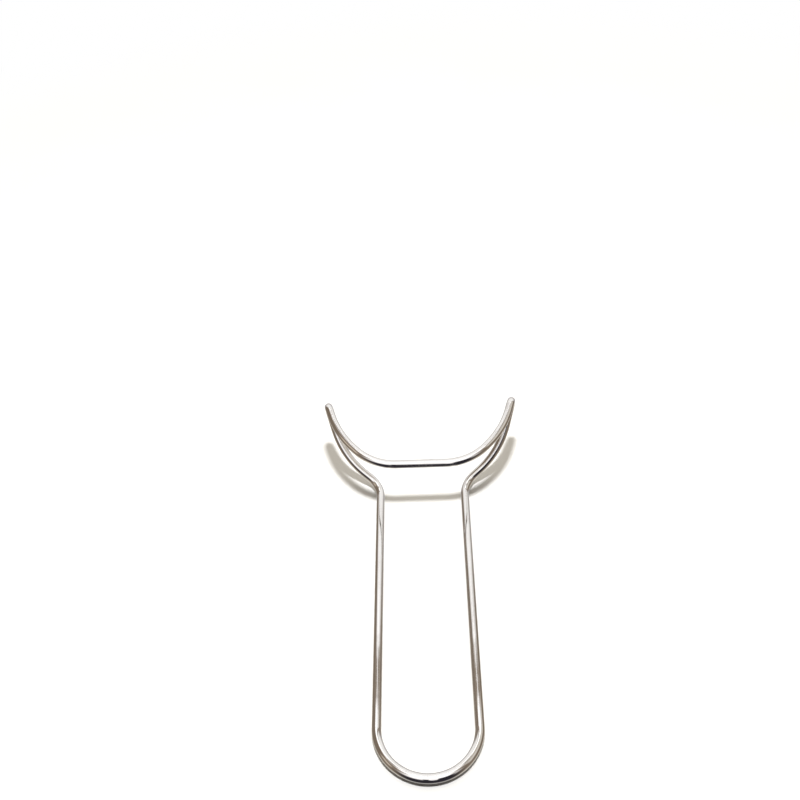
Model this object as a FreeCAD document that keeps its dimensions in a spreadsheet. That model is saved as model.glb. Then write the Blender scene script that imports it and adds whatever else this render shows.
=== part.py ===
"""Wire cheek and lip retractor: one closed loop of bent round wire.

The wire is one length, bent and butt welded into a ring. It is built here as its formed
stretches, which meet face to face on full wire sections:

    handle_end_bend   half circle at the grip end
    *_leg             the two parallel handle wires
    *_neck_bend       where each leg turns outwards into the head
    *_arm             rises and sweeps outwards to the horn
    *_horn            tight hairpin that turns the wire back on itself
    *_bow_side        comes back above the arm and curves round to the middle
    bow_bar           straight middle of the bow, which holds the lip

Frame: +X is the right-hand side, +Y points from the handle to the horns, +Z is up. The
handle wires lie on Z = 0 and the origin is under the middle of the overall length.
Lengths are in millimetres and angles in degrees.
"""
import FreeCAD, Part
import math
import os
import Sketcher
from FreeCAD import Placement, Rotation, Vector

DRIVING = [
    ("wire_diameter", 3.0),          # round stainless wire
    ("leg_spacing", 32.0),           # centre to centre of the handle wires
    ("leg_length", 98.0),            # centre of the end bend to the neck's bend point
    ("neck_bend_radius", 9.0),       # all bend radii are to the wire's centreline
    ("arm_turn_out", 30.0),          # bend point half way along the arm
    ("arm_turn_forward", 9.0),
    ("arm_turn_up", 7.5),
    ("arm_turn_radius", 34.0),
    ("horn_point_out", 38.0),        # where the lines of arm and bow would cross
    ("horn_point_forward", 29.5),
    ("horn_point_up", 27.0),
    ("horn_bend_radius", 3.4),       # tight hairpin at the tip
    ("bow_turn_out", 31.0),          # bend point along the side of the bow
    ("bow_turn_forward", 7.5),
    ("bow_turn_radius", 36.0),
    ("bow_corner_out", 18.0),        # bend point beside the straight middle
    ("bow_corner_radius", 21.0),
    ("bow_set_back", 6.0),           # bow bar behind the neck's bend points
    ("bow_height", 19.0),            # bow bar above the plane of the handle
]

doc = FreeCAD.newDocument("cheek_retractor")


def make_sheet(name, rows):
    """A spreadsheet with one aliased number a row."""
    sheet = doc.addObject("Spreadsheet::Sheet", name)
    for line, (alias, value) in enumerate(rows, start=1):
        sheet.set("A%d" % line, alias.replace("_", " "))
        sheet.set("B%d" % line, repr(value))
        sheet.setAlias("B%d" % line, alias)
    doc.recompute()
    return sheet


dims = make_sheet("Dimensions", DRIVING)


def size(alias):
    return float(dims.get(alias))


WIRE_RADIUS = size("wire_diameter") / 2
HALF_SPACING = size("leg_spacing") / 2


class Bend:
    """An arc of the centreline: where it starts, which way, and round what centre."""

    def __init__(self, start, direction, inwards, radius, angle):
        turn = math.radians(angle)
        self.start = start
        self.direction = direction
        self.inwards = inwards
        self.radius = radius
        self.angle = angle
        self.centre = start + inwards * radius
        self.end = (self.centre - inwards * (radius * math.cos(turn))
                    + direction * (radius * math.sin(turn)))


def corner_bend(before, corner, after, radius):
    """The bend that rounds the corner of the route at a bend point."""
    incoming = (corner - before).normalize()
    outgoing = (after - corner).normalize()
    angle = incoming.getAngle(outgoing)
    start = corner - incoming * (radius * math.tan(angle / 2))
    inwards = (outgoing - incoming * outgoing.dot(incoming)).normalize()
    return Bend(start, incoming, inwards, radius, math.degrees(angle))


def straight_run(start, bend):
    """Length of straight wire that leads into a bend; bends may not overlap."""
    run = (bend.start - start).dot(bend.direction)
    if run <= 0:
        raise ValueError("The bend radii leave no straight wire before %s" % bend.start)
    return run


def half_route():
    """Bend points of the right half, from the end bend to the middle of the bow."""
    bow_slope = ((size("horn_point_up") - size("bow_height"))
                 / (size("horn_point_forward") + size("bow_set_back")))
    bow_turn_up = (size("bow_height")
                   + bow_slope * (size("bow_turn_forward") + size("bow_set_back")))
    back = -size("bow_set_back")
    return [
        Vector(HALF_SPACING, -size("leg_length"), 0),
        Vector(HALF_SPACING, 0, 0),
        Vector(size("arm_turn_out"), size("arm_turn_forward"), size("arm_turn_up")),
        Vector(size("horn_point_out"), size("horn_point_forward"), size("horn_point_up")),
        Vector(size("bow_turn_out"), size("bow_turn_forward"), bow_turn_up),
        Vector(size("bow_corner_out"), back, size("bow_height")),
        Vector(0, back, size("bow_height")),
    ]


BEND_RADII = ["neck_bend_radius", "arm_turn_radius", "horn_bend_radius",
              "bow_turn_radius", "bow_corner_radius"]


def bends_of(route):
    """The neck, arm, horn, bow turn and bow corner bends of one half."""
    return [corner_bend(route[i], route[i + 1], route[i + 2], size(alias))
            for i, alias in enumerate(BEND_RADII)]


def formed_sizes(route):
    """The straight runs and bend angles that the bend points and radii lead to."""
    neck, arm_turn, horn, bow_turn, bow_corner = bends_of(route)
    return [
        ("leg_run", straight_run(route[0], neck)),
        ("neck_angle", neck.angle),
        ("arm_lower_run", straight_run(neck.end, arm_turn)),
        ("arm_angle", arm_turn.angle),
        ("arm_upper_run", straight_run(arm_turn.end, horn)),
        ("horn_angle", horn.angle),
        ("bow_front_run", straight_run(horn.end, bow_turn)),
        ("bow_turn_angle", bow_turn.angle),
        ("bow_rear_run", straight_run(bow_turn.end, bow_corner)),
        ("bow_corner_angle", bow_corner.angle),
        ("bow_bar_run", 2 * bow_corner.end.x),
    ]


right_route = half_route()
left_route = [Vector(-p.x, p.y, p.z) for p in right_route]
formed_sheet = make_sheet("Formed", formed_sizes(right_route))


def formed(alias):
    return float(formed_sheet.get(alias))


def frame_shift(horn):
    """Moves the model so that its lowest face is Z = 0 and Y = 0 is half way along it."""
    reach = horn.radius * math.hypot(horn.inwards.y, horn.direction.y)
    front = horn.centre.y + reach + WIRE_RADIUS
    rear = -size("leg_length") - HALF_SPACING - WIRE_RADIUS
    return Vector(0, -(front + rear) / 2, WIRE_RADIUS)


SHIFT = frame_shift(bends_of(right_route)[2])


def placed(origin, x_axis, y_axis):
    """The placement that puts a stretch's own X and Y axes along the given ones."""
    return Placement(origin + SHIFT, Rotation(x_axis, y_axis, x_axis.cross(y_axis), "XYZ"))


def new_body(label, placement):
    body = doc.addObject("PartDesign::Body", label)
    body.Label = label
    body.Placement = placement
    return body


def sketch_on(body, name, role):
    """A sketch on one of the body's own origin planes."""
    plane = next(f for f in body.Origin.OriginFeatures if f.Role == role)
    sketch = body.newObject("Sketcher::SketchObject", name)
    sketch.AttachmentSupport = [(plane, "")]
    sketch.MapMode = "FlatFace"
    return sketch


def bind(sketch, constraint, name, formula):
    """Adds a named dimension to a sketch and ties it to the spreadsheets."""
    index = sketch.addConstraint(constraint)
    sketch.renameConstraint(index, name)
    sketch.setExpression("Constraints." + name, formula)


def wire_section(body, offset="", offset_value=0.0):
    """The wire's round section on the YZ plane, or beside the Z axis of a bend."""
    plane = "XZ_Plane" if offset else "YZ_Plane"
    sketch = sketch_on(body, body.Label + "_section", plane)
    middle = Vector(offset_value, 0, 0)
    sketch.addGeometry(Part.Circle(middle, Vector(0, 0, 1), WIRE_RADIUS), False)
    if offset:
        sketch.addConstraint(Sketcher.Constraint("PointOnObject", 0, 3, -1))
        bind(sketch, Sketcher.Constraint("DistanceX", -1, 1, 0, 3, offset_value),
             "bend_radius", offset)
    else:
        sketch.addConstraint(Sketcher.Constraint("Coincident", 0, 3, -1, 1))
    bind(sketch, Sketcher.Constraint("Diameter", 0, 2 * WIRE_RADIUS),
         "diameter", "Dimensions.wire_diameter")
    return sketch


def straight(label, start, direction, run):
    """A straight stretch, padded along its own X axis."""
    body = new_body(label, placed(start, direction, direction.cross(Vector(0, 0, 1))))
    pad = body.newObject("PartDesign::Pad", label + "_pad")
    pad.Profile = wire_section(body)
    pad.setExpression("Length", "Formed." + run)
    return body


def bent(label, bend, radius_formula, angle_formula):
    """A single bend: the wire's section revolved about the bend's own Z axis."""
    body = new_body(label, placed(bend.centre, -bend.inwards, bend.direction))
    section = wire_section(body, radius_formula, bend.radius)
    turn = body.newObject("PartDesign::Revolution", label + "_turn")
    turn.Profile = section
    turn.ReferenceAxis = (section, ["V_Axis"])
    turn.setExpression("Angle", angle_formula)
    return body


def add_line(sketch, index, point, heading, run):
    """Draws a run from a point along a heading and returns where it ends."""
    length, turn = formed(run), math.radians(heading)
    end = point + Vector(math.cos(turn), math.sin(turn), 0) * length
    sketch.addGeometry(Part.LineSegment(point, end), False)
    bind(sketch, Sketcher.Constraint("Distance", index, length), run, "Formed." + run)
    return end, heading


def add_arc(sketch, index, point, heading, radius_alias, angle_alias):
    """Draws a left-hand bend from a point and returns its end and new heading."""
    radius, angle = size(radius_alias), formed(angle_alias)
    first, last = math.radians(heading - 90), math.radians(heading - 90 + angle)
    centre = point - Vector(math.cos(first), math.sin(first), 0) * radius
    circle = Part.Circle(centre, Vector(0, 0, 1), radius)
    sketch.addGeometry(Part.ArcOfCircle(circle, first, last), False)
    bind(sketch, Sketcher.Constraint("Radius", index, radius), radius_alias,
         "Dimensions." + radius_alias)
    bind(sketch, Sketcher.Constraint("Angle", index, math.radians(angle)), angle_alias,
         "Formed." + angle_alias)
    end = centre + Vector(math.cos(last), math.sin(last), 0) * radius
    return end, heading + angle


def tangent_path(body, pieces):
    """Runs and bends drawn end to end from the origin, each tangent to the last.

    A piece is (run alias,) or (radius alias, angle alias). The first is a run along X.
    """
    sketch = sketch_on(body, body.Label + "_path", "XY_Plane")
    point, heading = Vector(0, 0, 0), 0.0
    for index, piece in enumerate(pieces):
        draw = add_line if len(piece) == 1 else add_arc
        point, heading = draw(sketch, index, point, heading, *piece)
        if index:
            sketch.addConstraint(Sketcher.Constraint("Tangent", index - 1, 2, index, 1))
    sketch.addConstraint(Sketcher.Constraint("Coincident", 0, 1, -1, 1))
    sketch.addConstraint(Sketcher.Constraint("Horizontal", 0))
    return sketch


def swept(label, start, bend, pieces):
    """Runs and gentle bends that lie in one plane, swept along their centreline."""
    body = new_body(label, placed(start, bend.direction, bend.inwards))
    section, path = wire_section(body), tangent_path(body, pieces)
    pipe = body.newObject("PartDesign::AdditivePipe", label + "_pipe")
    pipe.Profile = section
    pipe.Spine = path
    return body


ARM_PIECES = [("arm_lower_run",), ("arm_turn_radius", "arm_angle"), ("arm_upper_run",)]
BOW_PIECES = [("bow_front_run",), ("bow_turn_radius", "bow_turn_angle"),
              ("bow_rear_run",), ("bow_corner_radius", "bow_corner_angle")]


def build_side(side, route):
    """The leg, neck bend, arm, horn and bow side of one half."""
    neck, arm_turn, horn, bow_turn, _ = bends_of(route)
    return [
        straight(side + "_leg", route[0], neck.direction, "leg_run"),
        bent(side + "_neck_bend", neck, "Dimensions.neck_bend_radius", "Formed.neck_angle"),
        swept(side + "_arm", neck.end, arm_turn, ARM_PIECES),
        bent(side + "_horn", horn, "Dimensions.horn_bend_radius", "Formed.horn_angle"),
        swept(side + "_bow_side", horn.end, bow_turn, BOW_PIECES),
    ]


def build_middle(route):
    """The two stretches that cross the plane of symmetry."""
    to_the_left = Vector(-1, 0, 0)
    end_bend = Bend(route[0], Vector(0, -1, 0), to_the_left, HALF_SPACING, 180.0)
    bow_corner = bends_of(route)[-1]
    return [
        bent("handle_end_bend", end_bend, "Dimensions.leg_spacing / 2", "180"),
        straight("bow_bar", bow_corner.end, to_the_left, "bow_bar_run"),
    ]


stretches = (build_middle(right_route) + build_side("right", right_route)
             + build_side("left", left_route))
doc.recompute()


def check_document():
    """Stops before anything is written if a feature failed or a stretch isn't sound."""
    for item in doc.Objects:
        if "Invalid" in item.State or "Error" in item.State:
            raise RuntimeError("%s did not recompute: %s" % (item.Name, item.State))
    for body in stretches:
        shape = body.Shape
        if shape.isNull() or not shape.isValid() or len(shape.Solids) != 1:
            raise RuntimeError("%s is not one valid solid" % body.Label)


def check_closed_loop():
    """Every wire end face must meet exactly one other, centre to centre."""
    ends = [face.CenterOfMass for body in stretches for face in body.Shape.Faces
            if isinstance(face.Surface, Part.Plane)]
    for end in ends:
        near = sum(1 for other in ends if end.distanceToPoint(other) < 1e-4)
        if near != 2:
            raise RuntimeError("A wire end at %s does not meet its neighbour" % end)


check_document()
check_closed_loop()
os.makedirs("parts", exist_ok=True)
for body in stretches:
    body.Shape.exportStep("parts/%s.step" % body.Label)
print("%d stretches, %.1f mm of wire" % (
    len(stretches), sum(b.Shape.Volume for b in stretches) / (math.pi * WIRE_RADIUS ** 2)))
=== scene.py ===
"""Polished wire cheek and lip retractor, lying on a pale surface under soft studio light.

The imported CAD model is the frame. Each CAD stretch of wire is shown by a finer mesh swept
round the same centreline, of the same shape but for a slight flattening of the two hairpins.
Neighbours share their end rings, so the polish runs on from one stretch to the next as it
does along one length of wire.
"""
import math

import bpy
from mathutils import Matrix, Vector


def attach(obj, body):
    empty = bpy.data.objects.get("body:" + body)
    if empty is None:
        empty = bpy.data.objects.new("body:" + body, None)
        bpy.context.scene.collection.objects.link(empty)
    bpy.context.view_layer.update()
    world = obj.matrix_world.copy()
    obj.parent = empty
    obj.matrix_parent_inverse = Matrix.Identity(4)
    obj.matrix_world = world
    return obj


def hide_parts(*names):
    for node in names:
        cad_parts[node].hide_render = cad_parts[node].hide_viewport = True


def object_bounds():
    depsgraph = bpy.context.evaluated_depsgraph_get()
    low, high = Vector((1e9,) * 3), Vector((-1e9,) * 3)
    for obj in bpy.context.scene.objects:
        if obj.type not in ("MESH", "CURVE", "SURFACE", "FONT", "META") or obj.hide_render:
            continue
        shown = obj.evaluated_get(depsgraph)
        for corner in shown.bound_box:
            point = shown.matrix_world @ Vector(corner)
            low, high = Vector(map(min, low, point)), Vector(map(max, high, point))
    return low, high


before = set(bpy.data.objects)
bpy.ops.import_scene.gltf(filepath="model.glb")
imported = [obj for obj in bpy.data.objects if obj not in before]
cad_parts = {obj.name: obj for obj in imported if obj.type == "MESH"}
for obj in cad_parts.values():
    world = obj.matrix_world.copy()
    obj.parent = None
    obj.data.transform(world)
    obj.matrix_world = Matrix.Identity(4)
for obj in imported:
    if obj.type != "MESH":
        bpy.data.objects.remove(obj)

CAD_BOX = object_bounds()
MM = 0.001

# The wire and its bend points, as in the CAD model (bend points are in the handle's plane
# frame: Y = 0 at the neck's bend points, Z = 0 at the centre of the handle wires).
WIRE_RADIUS = 1.5 * MM
HALF_SPACING = 16.0 * MM
LEG_LENGTH = 98.0 * MM
BOW_SET_BACK = 6.0 * MM
BOW_HEIGHT = 19.0 * MM
NECK_POINT = Vector((HALF_SPACING, 0, 0))
ARM_POINT = Vector((30.0, 9.0, 7.5)) * MM
HORN_POINT = Vector((38.0, 29.5, 27.0)) * MM
BOW_TURN_OUT, BOW_TURN_FORWARD = 31.0 * MM, 7.5 * MM
BOW_CORNER_OUT = 18.0 * MM
NECK_RADIUS = 9.0 * MM
ARM_RADIUS = 34.0 * MM
HORN_RADIUS = 3.4 * MM
BOW_TURN_RADIUS = 36.0 * MM
BOW_CORNER_RADIUS = 21.0 * MM

# Mesh fineness.
SIDES = 56                       # faces round the wire
RUN_STEP = 2.5 * MM              # between rings on a straight run, at most
BEND_STEP = 0.6 * MM             # between rings on a bend, at most
BEND_ANGLE = math.radians(3.0)   # between rings on a bend, at most

# The bender flattens the wire a little in a tight bend, most of all in the middle of it.
HAIRPIN_FLATTENING = 0.03        # share of the radius
FLATTENING_ONSET = 0.7           # power of the sine that fades it out towards both ends


class Bend:
    """An arc of the centreline, given by its start, heading, inward side and turn."""

    def __init__(self, start, heading, inwards, radius, turn):
        self.start, self.heading, self.inwards = start, heading, inwards
        self.radius, self.turn = radius, turn
        self.centre = start + inwards * radius
        self.end = self.at(turn)

    def at(self, angle):
        """The point of the centreline at an angle round the bend."""
        out = -self.inwards * math.cos(angle) + self.heading * math.sin(angle)
        return self.centre + out * self.radius


def corner_bend(before, corner, after, radius):
    """The bend that rounds the corner of the route at a bend point."""
    incoming = (corner - before).normalized()
    outgoing = (after - corner).normalized()
    turn = incoming.angle(outgoing)
    start = corner - incoming * (radius * math.tan(turn / 2))
    inwards = (outgoing - incoming * outgoing.dot(incoming)).normalized()
    return Bend(start, incoming, inwards, radius, turn)


def half_route():
    """Bend points of the right half, from the end bend to the middle of the bow."""
    slope = (HORN_POINT.z - BOW_HEIGHT) / (HORN_POINT.y + BOW_SET_BACK)
    turn_height = BOW_HEIGHT + slope * (BOW_TURN_FORWARD + BOW_SET_BACK)
    return [
        Vector((HALF_SPACING, -LEG_LENGTH, 0)),
        NECK_POINT,
        ARM_POINT,
        HORN_POINT,
        Vector((BOW_TURN_OUT, BOW_TURN_FORWARD, turn_height)),
        Vector((BOW_CORNER_OUT, -BOW_SET_BACK, BOW_HEIGHT)),
        Vector((0, -BOW_SET_BACK, BOW_HEIGHT)),
    ]


def frame_shift():
    """From the bend points' frame to the model's: the CAD box says where its rear end is."""
    rear = -LEG_LENGTH - HALF_SPACING - WIRE_RADIUS
    return Vector((0, CAD_BOX[0][1] - rear, WIRE_RADIUS))


SHIFT = frame_shift()


def mirror(vector):
    """The same vector of the left half."""
    return Vector((-vector.x, vector.y, vector.z))


class Ring:
    """One cross-section of the wire: its centre, its own up and side directions, and how
    far along the wire it is. In a tight bend its outer side is flattened."""

    def __init__(self, centre, heading, up, along, outwards=None, flattening=0.0):
        self.centre, self.heading, self.up = centre, heading, up
        self.side = heading.cross(up)
        self.along = along
        self.outwards, self.flattening = outwards, flattening

    def mirrored(self):
        """The same section of the left half."""
        twin = Ring(mirror(self.centre), mirror(self.heading), mirror(self.up), -self.along)
        twin.side = mirror(self.side)
        twin.outwards = mirror(self.outwards) if self.outwards else None
        twin.flattening = self.flattening
        return twin

    def rim(self, angle):
        """The point at an angle round the wire, its normal, and its place in a straight wire."""
        around = self.up * math.cos(angle) + self.side * math.sin(angle)
        offset, normal = around.copy(), around.copy()
        reach = around.dot(self.outwards) if self.flattening else 0.0
        if reach > 0:
            offset -= self.outwards * (reach * self.flattening)
            normal += self.outwards * (reach * self.flattening)
        unbent = Vector((self.along, WIRE_RADIUS * math.cos(angle),
                         WIRE_RADIUS * math.sin(angle)))
        return self.centre + offset * WIRE_RADIUS, normal.normalized(), unbent


def follow_run(ring, length):
    """Rings along a straight run, from the given one."""
    steps = math.ceil(length / RUN_STEP)
    parts = [length * i / steps for i in range(1, steps + 1)]
    return [ring] + [Ring(ring.centre + ring.heading * part, ring.heading, ring.up,
                          ring.along + part) for part in parts]


def follow_bend(ring, bend, flattening=0.0):
    """Rings round a bend, turned with it and never twisted about the wire."""
    steps = math.ceil(max(bend.turn / BEND_ANGLE, bend.turn * bend.radius / BEND_STEP))
    axis = bend.heading.cross(bend.inwards)
    rings = [ring]
    for i in range(1, steps + 1):
        turned = Matrix.Rotation(bend.turn * i / steps, 3, axis)
        fade = math.sin(math.pi * i / steps) ** FLATTENING_ONSET if i < steps else 0.0
        rings.append(Ring(bend.at(bend.turn * i / steps) + SHIFT, turned @ ring.heading,
                          turned @ ring.up, ring.along + bend.turn * bend.radius * i / steps,
                          turned @ -bend.inwards, flattening * fade))
    return rings


def follow_on(rings, bend):
    """Continues a stretch with the run up to a bend and the bend itself."""
    run = (bend.start + SHIFT - rings[-1].centre).dot(rings[-1].heading)
    rings = rings[:-1] + follow_run(rings[-1], run)
    return rings[:-1] + follow_bend(rings[-1], bend)


def half_stretches():
    """The rings of the right half's five stretches, from the leg to the bow's middle."""
    route = half_route()
    radii = [NECK_RADIUS, ARM_RADIUS, HORN_RADIUS, BOW_TURN_RADIUS, BOW_CORNER_RADIUS]
    neck, arm_turn, horn, bow_turn, bow_corner = [
        corner_bend(route[i], route[i + 1], route[i + 2], r) for i, r in enumerate(radii)]
    first = Ring(route[0] + SHIFT, neck.heading, Vector((0, 0, 1)),
                 math.pi / 2 * HALF_SPACING)
    leg = follow_run(first, (neck.start - route[0]).length)
    neck_bend = follow_bend(leg[-1], neck)
    arm = follow_on([neck_bend[-1]], arm_turn)
    arm = arm[:-1] + follow_run(arm[-1], (horn.start - arm_turn.end).length)
    hairpin = follow_bend(arm[-1], horn, HAIRPIN_FLATTENING)
    bow_side = follow_on(follow_on([hairpin[-1]], bow_turn), bow_corner)
    return {"leg": leg, "neck_bend": neck_bend, "arm": arm, "horn": hairpin,
            "bow_side": bow_side}


def end_bend_rings(right_end):
    """The half circle at the grip end, from the left leg round to the right one."""
    left_end = right_end.mirrored()
    start = Ring(left_end.centre, -left_end.heading, left_end.up, left_end.along)
    half_circle = Bend(start.centre - SHIFT, start.heading, Vector((1, 0, 0)),
                       HALF_SPACING, math.pi)
    return [start] + follow_bend(start, half_circle)[1:-1] + [right_end]


def bar_rings(right_end):
    """The straight middle of the bow."""
    left_end = right_end.mirrored()
    rings = follow_run(right_end, (left_end.centre - right_end.centre).length)
    left_end.along = rings[-1].along
    return rings[:-1] + [left_end]


def tube_faces(ring_count, inside_out):
    """Four-sided faces between the rings, and triangles from each end ring to the middle of
    its end face. The two middles are the points after the last ring's."""
    last, middles = (ring_count - 1) * SIDES, ring_count * SIDES
    faces = []
    for a in range(SIDES):
        b = (a + 1) % SIDES
        faces += [(i + a, i + b, i + b + SIDES, i + a + SIDES) for i in range(0, last, SIDES)]
        faces += [(b, a, middles), (last + a, last + b, middles + 1)]
    return [face[::-1] for face in faces] if inside_out else faces


def set_normals(mesh, normals):
    """The wire's own normals round its sides, and flat ones on its end faces."""
    mesh.shade_smooth()
    split = []
    for face in mesh.polygons:
        flat = len(face.vertices) == 3
        split += [face.normal if flat else normals[vertex] for vertex in face.vertices]
    mesh.normals_split_custom_set(split)


def wire_mesh(name, rings, inside_out):
    """A closed tube through the rings, with flat end faces and the wire's true normals.

    The left half is a mirror image, so its faces are wound the other way.
    """
    rim = [ring.rim(2 * math.pi * k / SIDES) for ring in rings for k in range(SIDES)]
    ends = (rings[0], rings[-1])
    points = [point for point, _, _ in rim] + [ring.centre for ring in ends]
    places = [place for _, _, place in rim] + [Vector((ring.along, 0, 0)) for ring in ends]
    mesh = bpy.data.meshes.new(name)
    mesh.from_pydata(points, [], tube_faces(len(rings), inside_out))
    unbent = mesh.attributes.new("unbent", "FLOAT_VECTOR", "POINT")
    unbent.data.foreach_set("vector", [value for place in places for value in place])
    set_normals(mesh, [normal for _, normal, _ in rim])
    return mesh


def build_wire(material):
    """One piece for each CAD stretch, in its place."""
    half = half_stretches()
    pieces = {"handle_end_bend": (end_bend_rings(half["leg"][0]), False),
              "bow_bar": (bar_rings(half["bow_side"][-1]), False)}
    for part, rings in half.items():
        pieces["right_" + part] = (rings, False)
        pieces["left_" + part] = ([ring.mirrored() for ring in rings], True)
    for node, (rings, inside_out) in pieces.items():
        mesh = wire_mesh(node + "_wire", rings, inside_out)
        mesh.materials.append(material)
        piece = bpy.data.objects.new(node + "_wire", mesh)
        bpy.context.scene.collection.objects.link(piece)
        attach(piece, "root")
        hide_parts(node)


class Nodes:
    """Makes and links the nodes of one shader."""

    def __init__(self, tree, output_kind):
        tree.nodes.clear()
        self.tree = tree
        self.output = tree.nodes.new(output_kind)

    def finish(self, surface):
        """Gives the shader its surface."""
        self.put(self.output, "Surface", surface)

    def add(self, kind, settings=(), **inputs):
        """A node with its settings and its inputs, which are constants or other sockets."""
        node = self.tree.nodes.new(kind)
        for name, value in dict(settings).items():
            setattr(node, name, value)
        for name, value in inputs.items():
            self.put(node, name.replace("_", " "), value)
        return node

    def put(self, node, name, value):
        """Sets an input, by its name or its number, to a constant or another socket."""
        socket = node.inputs[int(name)] if name.isdigit() else node.inputs[name]
        if isinstance(value, bpy.types.NodeSocket):
            self.tree.links.new(value, socket)
        else:
            socket.default_value = value

    def stretched(self, vector, scale):
        """Coordinates scaled by a different number along each axis."""
        return self.add("ShaderNodeMapping", Vector=vector, Scale=scale).outputs[0]

    def noise(self, vector, scale, detail=3.0, roughness=0.5):
        """Smooth noise from 0 to 1, finer with a larger scale."""
        return self.add("ShaderNodeTexNoise", Vector=vector, Scale=scale, Detail=detail,
                        Roughness=roughness).outputs["Fac"]

    def between(self, value, low, high, start=0.0, end=1.0):
        """The value, moved smoothly from the range low..high to start..end, and held there."""
        node = self.add("ShaderNodeMapRange", {"interpolation_type": "SMOOTHSTEP"},
                        Value=value, From_Min=low, From_Max=high, To_Min=start, To_Max=end)
        return node.outputs["Result"]

    def band(self, value, middle, half_width, softness):
        """1 within a band of values, fading to 0 outside it."""
        return self.between(self.away(value, middle), half_width, half_width + softness,
                            1.0, 0.0)

    def away(self, value, middle):
        """How far a value is from the middle, to either side."""
        return self.maths("ABSOLUTE", self.maths("SUBTRACT", value, middle))

    def maths(self, operation, first, second=0.0):
        """The result of one operation on two numbers."""
        node = self.add("ShaderNodeMath", {"operation": operation})
        self.put(node, "0", first)
        self.put(node, "1", second)
        return node.outputs[0]

    def mixed(self, factor, first, second):
        """A colour between two others."""
        node = self.add("ShaderNodeMix", {"data_type": "RGBA"})
        for index, value in ((0, factor), (6, first), (7, second)):
            self.put(node, str(index), value)
        return node.outputs[2]

    def shader_mix(self, factor, first, second):
        """A shader between two others."""
        node = self.add("ShaderNodeMixShader", Fac=factor)
        self.put(node, "1", first)
        self.put(node, "2", second)
        return node.outputs[0]


def new_material(name):
    """An empty material, and what fills in its nodes."""
    material = bpy.data.materials.new(name)
    material.use_nodes = True
    return material, Nodes(material.node_tree, "ShaderNodeOutputMaterial")


# The wire's finish.
BRIGHT_STEEL, DULL_STEEL = (0.82, 0.81, 0.79, 1), (0.74, 0.725, 0.70, 1)
SPECK = (0.42, 0.39, 0.36, 1)
WAVE_DEPTH = 0.02 * MM           # slow waviness of the polished surface
LINE_DEPTH = 0.0012 * MM         # drawing lines along the wire


def polished_wire():
    """Mirror-polished stainless wire: faint drawing lines, buffing haze, specks and smears."""
    material, nodes = new_material("polished_wire")
    unbent = nodes.add("ShaderNodeAttribute", {"attribute_name": "unbent"}).outputs["Vector"]
    place = nodes.add("ShaderNodeTexCoord").outputs["Object"]

    drawn = nodes.noise(nodes.stretched(unbent, (60, 3200, 3200)), 1.0, 2.0)
    buffed = nodes.noise(nodes.stretched(unbent, (900, 260, 260)), 1.0, 3.0, 0.6)
    smears = nodes.noise(place, 85.0, 4.0, 0.55)
    specks = nodes.noise(place, 2400.0, 1.0)
    waves = nodes.noise(nodes.stretched(unbent, (150, 420, 420)), 1.0, 1.0)

    haze = nodes.between(smears, 0.45, 0.75, 0.035, 0.11)
    lines = nodes.between(drawn, 0.35, 0.75, 0.0, 0.05)
    rough = nodes.maths("ADD", haze, lines)
    rough = nodes.maths("ADD", rough, nodes.between(buffed, 0.5, 0.8, 0.0, 0.04))
    colour = nodes.mixed(nodes.between(smears, 0.3, 0.8), BRIGHT_STEEL, DULL_STEEL)
    colour = nodes.mixed(nodes.between(specks, 0.68, 0.8, 0.0, 0.5), colour, SPECK)

    surface = nodes.add("ShaderNodeBump", Strength=1.0, Distance=WAVE_DEPTH, Height=waves)
    surface = nodes.add("ShaderNodeBump", Strength=1.0, Distance=LINE_DEPTH, Height=drawn,
                        Normal=surface.outputs[0])
    shader = nodes.add("ShaderNodeBsdfPrincipled", Base_Color=colour, Metallic=1.0,
                       Roughness=rough, Normal=surface.outputs[0])
    nodes.finish(shader.outputs[0])
    return material


# The floor, and how far from the middle it melts into the backdrop, in metres.
FLOOR_RADIUS, FLOOR_SIDES = 0.80, 128
FADE_FROM, FADE_TO = 0.28, 0.52
CARD, CARD_MOTTLE = (0.90, 0.90, 0.895, 1), (0.88, 0.878, 0.872, 1)
TOOTH_DEPTH = 0.1 * MM
BACKDROP = (1.0, 1.0, 1.0, 1)


def pale_floor():
    """Matt pale card, with very faint mottling and a fine tooth, fading to the backdrop."""
    material, nodes = new_material("pale_card")
    place = nodes.add("ShaderNodeTexCoord").outputs["Object"]
    mottling = nodes.noise(place, 14.0, 4.0)
    tooth = nodes.noise(place, 1400.0, 3.0)
    colour = nodes.mixed(nodes.between(mottling, 0.3, 0.7), CARD, CARD_MOTTLE)
    bump = nodes.add("ShaderNodeBump", Strength=0.15, Distance=TOOTH_DEPTH, Height=tooth)
    card = nodes.add("ShaderNodeBsdfPrincipled", Base_Color=colour, Roughness=0.9,
                     Specular_IOR_Level=0.2, Normal=bump.outputs[0])
    away = nodes.add("ShaderNodeVectorMath", {"operation": "LENGTH"}, Vector=place)
    fade = nodes.between(away.outputs["Value"], FADE_FROM, FADE_TO)
    backdrop = nodes.add("ShaderNodeEmission", Color=BACKDROP)
    nodes.finish(nodes.shader_mix(fade, card.outputs[0], backdrop.outputs[0]))
    return material


def build_floor():
    """A round pale floor, wide enough to fill the view behind the part."""
    turns = [2 * math.pi * k / FLOOR_SIDES for k in range(FLOOR_SIDES)]
    rim = [(FLOOR_RADIUS * math.cos(a), FLOOR_RADIUS * math.sin(a), 0.0) for a in turns]
    mesh = bpy.data.meshes.new("floor")
    mesh.from_pydata(rim, [], [tuple(range(FLOOR_SIDES))])
    mesh.materials.append(pale_floor())
    floor = bpy.data.objects.new("floor", mesh)
    bpy.context.scene.collection.objects.link(floor)
    floor.visible_glossy = False     # the wire reflects the room's own lower half instead


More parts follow.
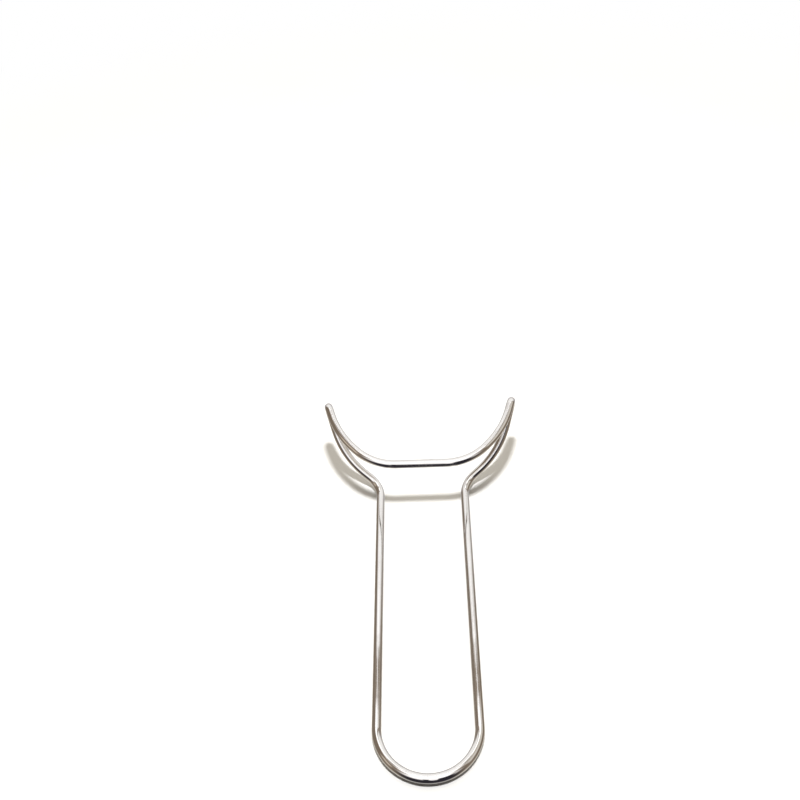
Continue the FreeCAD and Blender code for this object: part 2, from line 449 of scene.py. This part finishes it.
# The room that the wire reflects. Its three kinds of side change colour with height, which
# is -1 straight down, 0 level and 1 straight up.
ROOM_STRENGTH = 1.6
WALL, SOFTBOX = (0.700, 0.690, 0.695), (1.0, 0.99, 1.0)
TAN, UMBER = (0.142, 0.113, 0.089), (0.130, 0.097, 0.071)
DARK, EDGE = (0.018, 0.016, 0.021), (0.30, 0.29, 0.30)
BEHIND = [(-1.0, (0.52, 0.51, 0.49)), (-0.75, (0.52, 0.51, 0.49)), (-0.56, EDGE),
          (-0.18, EDGE), (0.0, (0.46, 0.44, 0.43)), (0.14, (0.63, 0.62, 0.61)),
          (0.80, WALL), (0.90, SOFTBOX)]
BESIDE = [(-1.0, (0.50, 0.49, 0.47)), (-0.75, (0.42, 0.38, 0.32)), (-0.40, TAN),
          (0.45, TAN), (0.80, UMBER), (0.90, (0.24, 0.20, 0.165)), (0.955, SOFTBOX)]
BEFORE = [(-1.0, (0.30, 0.29, 0.28)), (-0.88, (0.20, 0.19, 0.185)), (-0.72, DARK),
          (0.34, DARK), (0.62, (0.74, 0.72, 0.73)), (0.90, SOFTBOX)]

# Things on the sides, with soft edges: (middle, half size, softness) across and then up.
GAP = (0.115, 0.07, 0.06), (0.60, 0.12, 0.18)
FIGURES = [((0.36, 0.15, 0.05), (0.30, 0.35, 0.12)),
           ((-0.09, 0.04, 0.05), (0.40, 0.20, 0.14))]
WEST_PATCH = (-0.30, 0.10, 0.14), (0.43, 0.18, 0.12)
EAST_PATCH = (0.10, 0.42, 0.14), (0.60, 0.18, 0.14)
GAP_COLOUR = (0.74, 0.72, 0.73)
WEST_COLOUR, EAST_COLOUR = (0.42, 0.36, 0.30), (0.47, 0.44, 0.40)

# Where the near side gives way to the warm ones and they to the far wall, by how far north
# the level part of a direction points. The far wall reaches a little further round in the
# east. The patches give way to each other by how far east a direction points.
NEAR_EDGE, FAR_EDGE, FAR_LEAN = (-0.88, -0.46), (0.58, 0.76), 0.07
WEST_TO_EAST = (-0.2, 0.2)

# The rail round the softbox, and a seam that crosses the upper part of the room. Their
# bands are (middle, half width, softness), and the pairs are where they fade in.
RAIL_HEIGHT, RAIL_FROM = (0.945, 0.006, 0.012), (-0.6, -0.4)
SEAM_NORTH, SEAM_FROM = (0.484, 0.012, 0.022), (0.3, 0.5)
SEAM_MIDDLE, SEAM_BREAK = 0.02, (0.03, 0.12)
RAIL_COLOUR, SEAM_COLOUR = (0.17, 0.145, 0.13), (0.19, 0.155, 0.125)


def studio_ramp(nodes, height, stops):
    """A side's colour against height."""
    share = nodes.add("ShaderNodeMapRange", Value=height, From_Min=-1.0).outputs["Result"]
    ramp = nodes.add("ShaderNodeValToRGB", Fac=share)
    while len(ramp.color_ramp.elements) < len(stops):
        ramp.color_ramp.elements.new(0.5)
    for element, (where, colour) in zip(ramp.color_ramp.elements, stops):
        element.position = (where + 1) / 2
        element.color = (*colour, 1)
    return ramp.outputs["Color"]


def area(nodes, across, height, extents):
    """1 inside a soft-edged rectangle of the room."""
    wide, tall = extents
    return nodes.maths("MULTIPLY", nodes.band(across, *wide), nodes.band(height, *tall))


def near_side(nodes, east, height):
    """The dark side by the handle's end, with a bright gap and two dark figures in it."""
    side = studio_ramp(nodes, height, BEFORE)
    side = nodes.mixed(area(nodes, east, height, GAP), side, (*GAP_COLOUR, 1))
    for figure in FIGURES:
        side = nodes.mixed(area(nodes, east, height, figure), side, (*DARK, 1))
    return side


def warm_sides(nodes, east, heading, height):
    """The warm dim sides in the west and the east, with a paler patch on each."""
    sides = studio_ramp(nodes, height, BESIDE)
    eastern = nodes.between(east, *WEST_TO_EAST)
    western = nodes.maths("SUBTRACT", 1.0, eastern)
    for half, patch, colour in ((western, WEST_PATCH, WEST_COLOUR),
                                (eastern, EAST_PATCH, EAST_COLOUR)):
        share = nodes.maths("MULTIPLY", area(nodes, heading, height, patch), half)
        sides = nodes.mixed(share, sides, (*colour, 1))
    return sides


def rail(nodes, heading, height):
    """1 on the rail round the softbox, which is missing on the near side."""
    return nodes.maths("MULTIPLY", nodes.between(heading, *RAIL_FROM),
                       nodes.band(height, *RAIL_HEIGHT))


def seam(nodes, east, north, height):
    """1 on the seam, which breaks off around the middle of the room."""
    off_centre = nodes.between(nodes.away(east, SEAM_MIDDLE), *SEAM_BREAK)
    raised = nodes.maths("MULTIPLY", off_centre, nodes.between(height, *SEAM_FROM))
    return nodes.maths("MULTIPLY", nodes.band(north, *SEAM_NORTH), raised)


def studio_room(nodes, axes):
    """What the wire reflects: a white wall behind the part, warm dim sides, a dark near side,
    a softbox overhead with a dark rail round it, and a dark seam."""
    east, north, height = axes["X"], axes["Y"], axes["Z"]
    level = nodes.maths("SQRT", nodes.maths("SUBTRACT", 1.0,
                                            nodes.maths("MULTIPLY", height, height)))
    heading = nodes.maths("DIVIDE", north, nodes.maths("MAXIMUM", level, 0.001))
    leaning = nodes.maths("ADD", heading, nodes.maths("MULTIPLY", east, FAR_LEAN))
    room = nodes.mixed(nodes.between(heading, *NEAR_EDGE), near_side(nodes, east, height),
                       warm_sides(nodes, east, heading, height))
    room = nodes.mixed(nodes.between(leaning, *FAR_EDGE), room,
                       studio_ramp(nodes, height, BEHIND))
    room = nodes.mixed(rail(nodes, heading, height), room, (*RAIL_COLOUR, 1))
    room = nodes.mixed(seam(nodes, east, north, height), room, (*SEAM_COLOUR, 1))
    return nodes.add("ShaderNodeBackground", Color=room, Strength=ROOM_STRENGTH).outputs[0]


# The fill light on the floor, which grows towards the north.
FILL_COLOUR, FILL_STRENGTH = (1.0, 0.93, 0.81, 1), 1.75
FILL_NORTH = (-0.05, 0.70)


def studio_light():
    """Soft studio light from behind and above, the room for reflections, and a plain pale
    backdrop for the camera."""
    world = bpy.data.worlds.new("studio")
    bpy.context.scene.world = world
    world.use_nodes = True
    nodes = Nodes(world.node_tree, "ShaderNodeOutputWorld")
    direction = nodes.add("ShaderNodeTexCoord").outputs["Generated"]
    axes = nodes.add("ShaderNodeSeparateXYZ", Vector=direction).outputs
    strength = nodes.between(axes["Y"], *FILL_NORTH, 0.0, FILL_STRENGTH)
    fill = nodes.add("ShaderNodeBackground", Color=FILL_COLOUR, Strength=strength).outputs[0]
    backdrop = nodes.add("ShaderNodeBackground", Color=BACKDROP).outputs[0]
    ray = nodes.add("ShaderNodeLightPath").outputs
    light = nodes.shader_mix(ray["Is Glossy Ray"], fill, studio_room(nodes, axes))
    nodes.finish(nodes.shader_mix(ray["Is Camera Ray"], light, backdrop))


# The key lamp, with its place and radius in metres.
LAMP_PLACE, LAMP_RADIUS, LAMP_POWER = (0.013, 0.025, 0.46), 0.024, 35.0


def key_light():
    """A small soft lamp almost straight above, which gives the bow its crisp shadows.

    It doesn't fade with distance, so that the floor is evenly lit out to the corners.
    """
    lamp = bpy.data.lights.new("key", "POINT")
    lamp.shadow_soft_size, lamp.energy = LAMP_RADIUS, LAMP_POWER
    lamp.use_nodes = True
    nodes = Nodes(lamp.node_tree, "ShaderNodeOutputLight")
    even = nodes.add("ShaderNodeLightFalloff", Strength=1.0).outputs["Constant"]
    nodes.finish(nodes.add("ShaderNodeEmission", Strength=even).outputs[0])
    key = bpy.data.objects.new("key", lamp)
    key.location = LAMP_PLACE
    key.visible_glossy = False       # the room's own softbox is what the wire reflects
    bpy.context.scene.collection.objects.link(key)


# The photograph's viewpoint, in degrees, metres from its target, and millimetres of lens.
AZIMUTH, ELEVATION, ROLL = 2.64, 44.43, -3.81
DISTANCE, LENS, SENSOR = 0.3939, 41.9, 36.0
TARGET_ASIDE, TARGET_AHEAD = -8.7 * MM, 25.4 * MM    # ahead of the tips of the horns
NEAREST, FARTHEST = 0.01, 20.0


def photograph_camera():
    """The photograph's viewpoint: 44 degrees above the floor, from the handle's end."""
    azimuth, elevation, roll = (math.radians(a) for a in (AZIMUTH, ELEVATION, ROLL))
    target = Vector((TARGET_ASIDE, CAD_BOX[1][1] + TARGET_AHEAD, 0))
    back = Vector((math.sin(azimuth) * math.cos(elevation),
                   -math.cos(azimuth) * math.cos(elevation), math.sin(elevation)))
    camera = bpy.data.objects.new("camera", bpy.data.cameras.new("camera"))
    camera.data.lens, camera.data.sensor_width = LENS, SENSOR
    camera.data.clip_start, camera.data.clip_end = NEAREST, FARTHEST
    camera.location = target + back * DISTANCE
    turn = (-back).to_track_quat("-Z", "Y").to_matrix() @ Matrix.Rotation(roll, 3, "Z")
    camera.rotation_euler = turn.to_euler()
    bpy.context.scene.collection.objects.link(camera)
    bpy.context.scene.camera = camera


build_wire(polished_wire())
build_floor()
studio_light()
key_light()
photograph_camera()
bpy.context.scene.view_settings.view_transform = "Standard"
